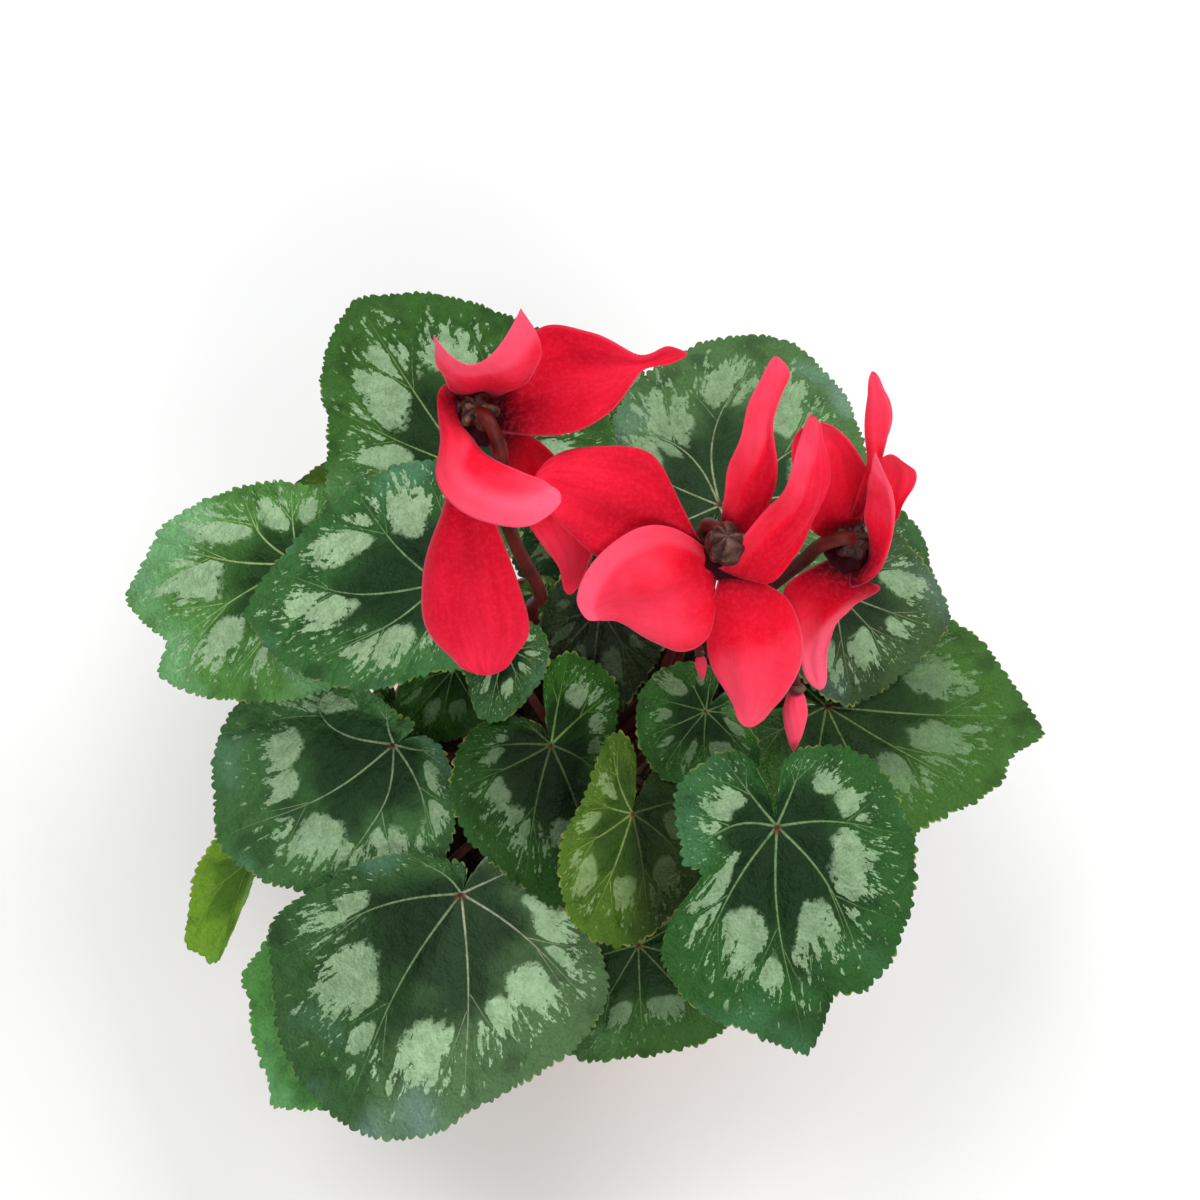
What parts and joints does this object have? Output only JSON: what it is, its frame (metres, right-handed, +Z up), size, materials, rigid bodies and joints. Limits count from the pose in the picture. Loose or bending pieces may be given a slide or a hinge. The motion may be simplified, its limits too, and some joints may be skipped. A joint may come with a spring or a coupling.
{
  "type": "potted cyclamen",
  "caption": "Flowering houseplant in a tapered clay pot, with silver-marked heart-shaped toothed leaves and upswept red blooms on curved stems.",
  "frame": {"origin": "centre of the pot's flat base, on the surface it stands on", "axes": "+Z up along the pot's axis; -Y towards the viewer of the picture; +X to the viewer's right"},
  "size_m": [0.2762, 0.2541, 0.2842],
  "materials": {
    "pot": "matte terracotta",
    "soil": "matte",
    "tuber": "rough",
    "leaf": "satin, silver-green blotches",
    "young_leaf": "satin",
    "petal": "velvety",
    "stem": "satin"
  },
  "bodies": {
    "root": {"pot": "pot", "soil": "soil", "tuber": "tuber", "leaf_back_left": "leaf", "leaf_back_right": "leaf", "leaf_far_left": "leaf", "leaf_mid_left": "leaf", "leaf_lower_left": "leaf", "leaf_front_left": "leaf", "leaf_front_right": "leaf", "leaf_centre": "leaf", "leaf_folded_centre": "young_leaf", "leaf_far_right": "leaf", "leaf_mid_right": "leaf", "leaf_small_right": "leaf", "leaf_small_back": "leaf", "leaf_under_front_left": "leaf", "leaf_curled_left": "young_leaf", "leaf_small_left": "young_leaf", "leaf_front_low": "leaf", "leaf_dark_centre": "leaf", "leaf_small_mid_left": "leaf", "leaf_small_centre": "leaf", "leaf_under_right": "leaf", "leaf_brown_right": "young_leaf", "leaf_behind_blooms": "leaf", "leaf_young_centre": "young_leaf", "leaf_young_left": "young_leaf", "petals_left": "petal", "flower_stem_left": "stem", "petals_middle": "petal", "flower_stem_middle": "stem", "petals_right": "petal", "flower_stem_right": "stem", "bud_large": "petal", "bud_stem_large": "stem", "bud_small": "petal", "bud_stem_small": "stem"}
  },
  "joints": []
}
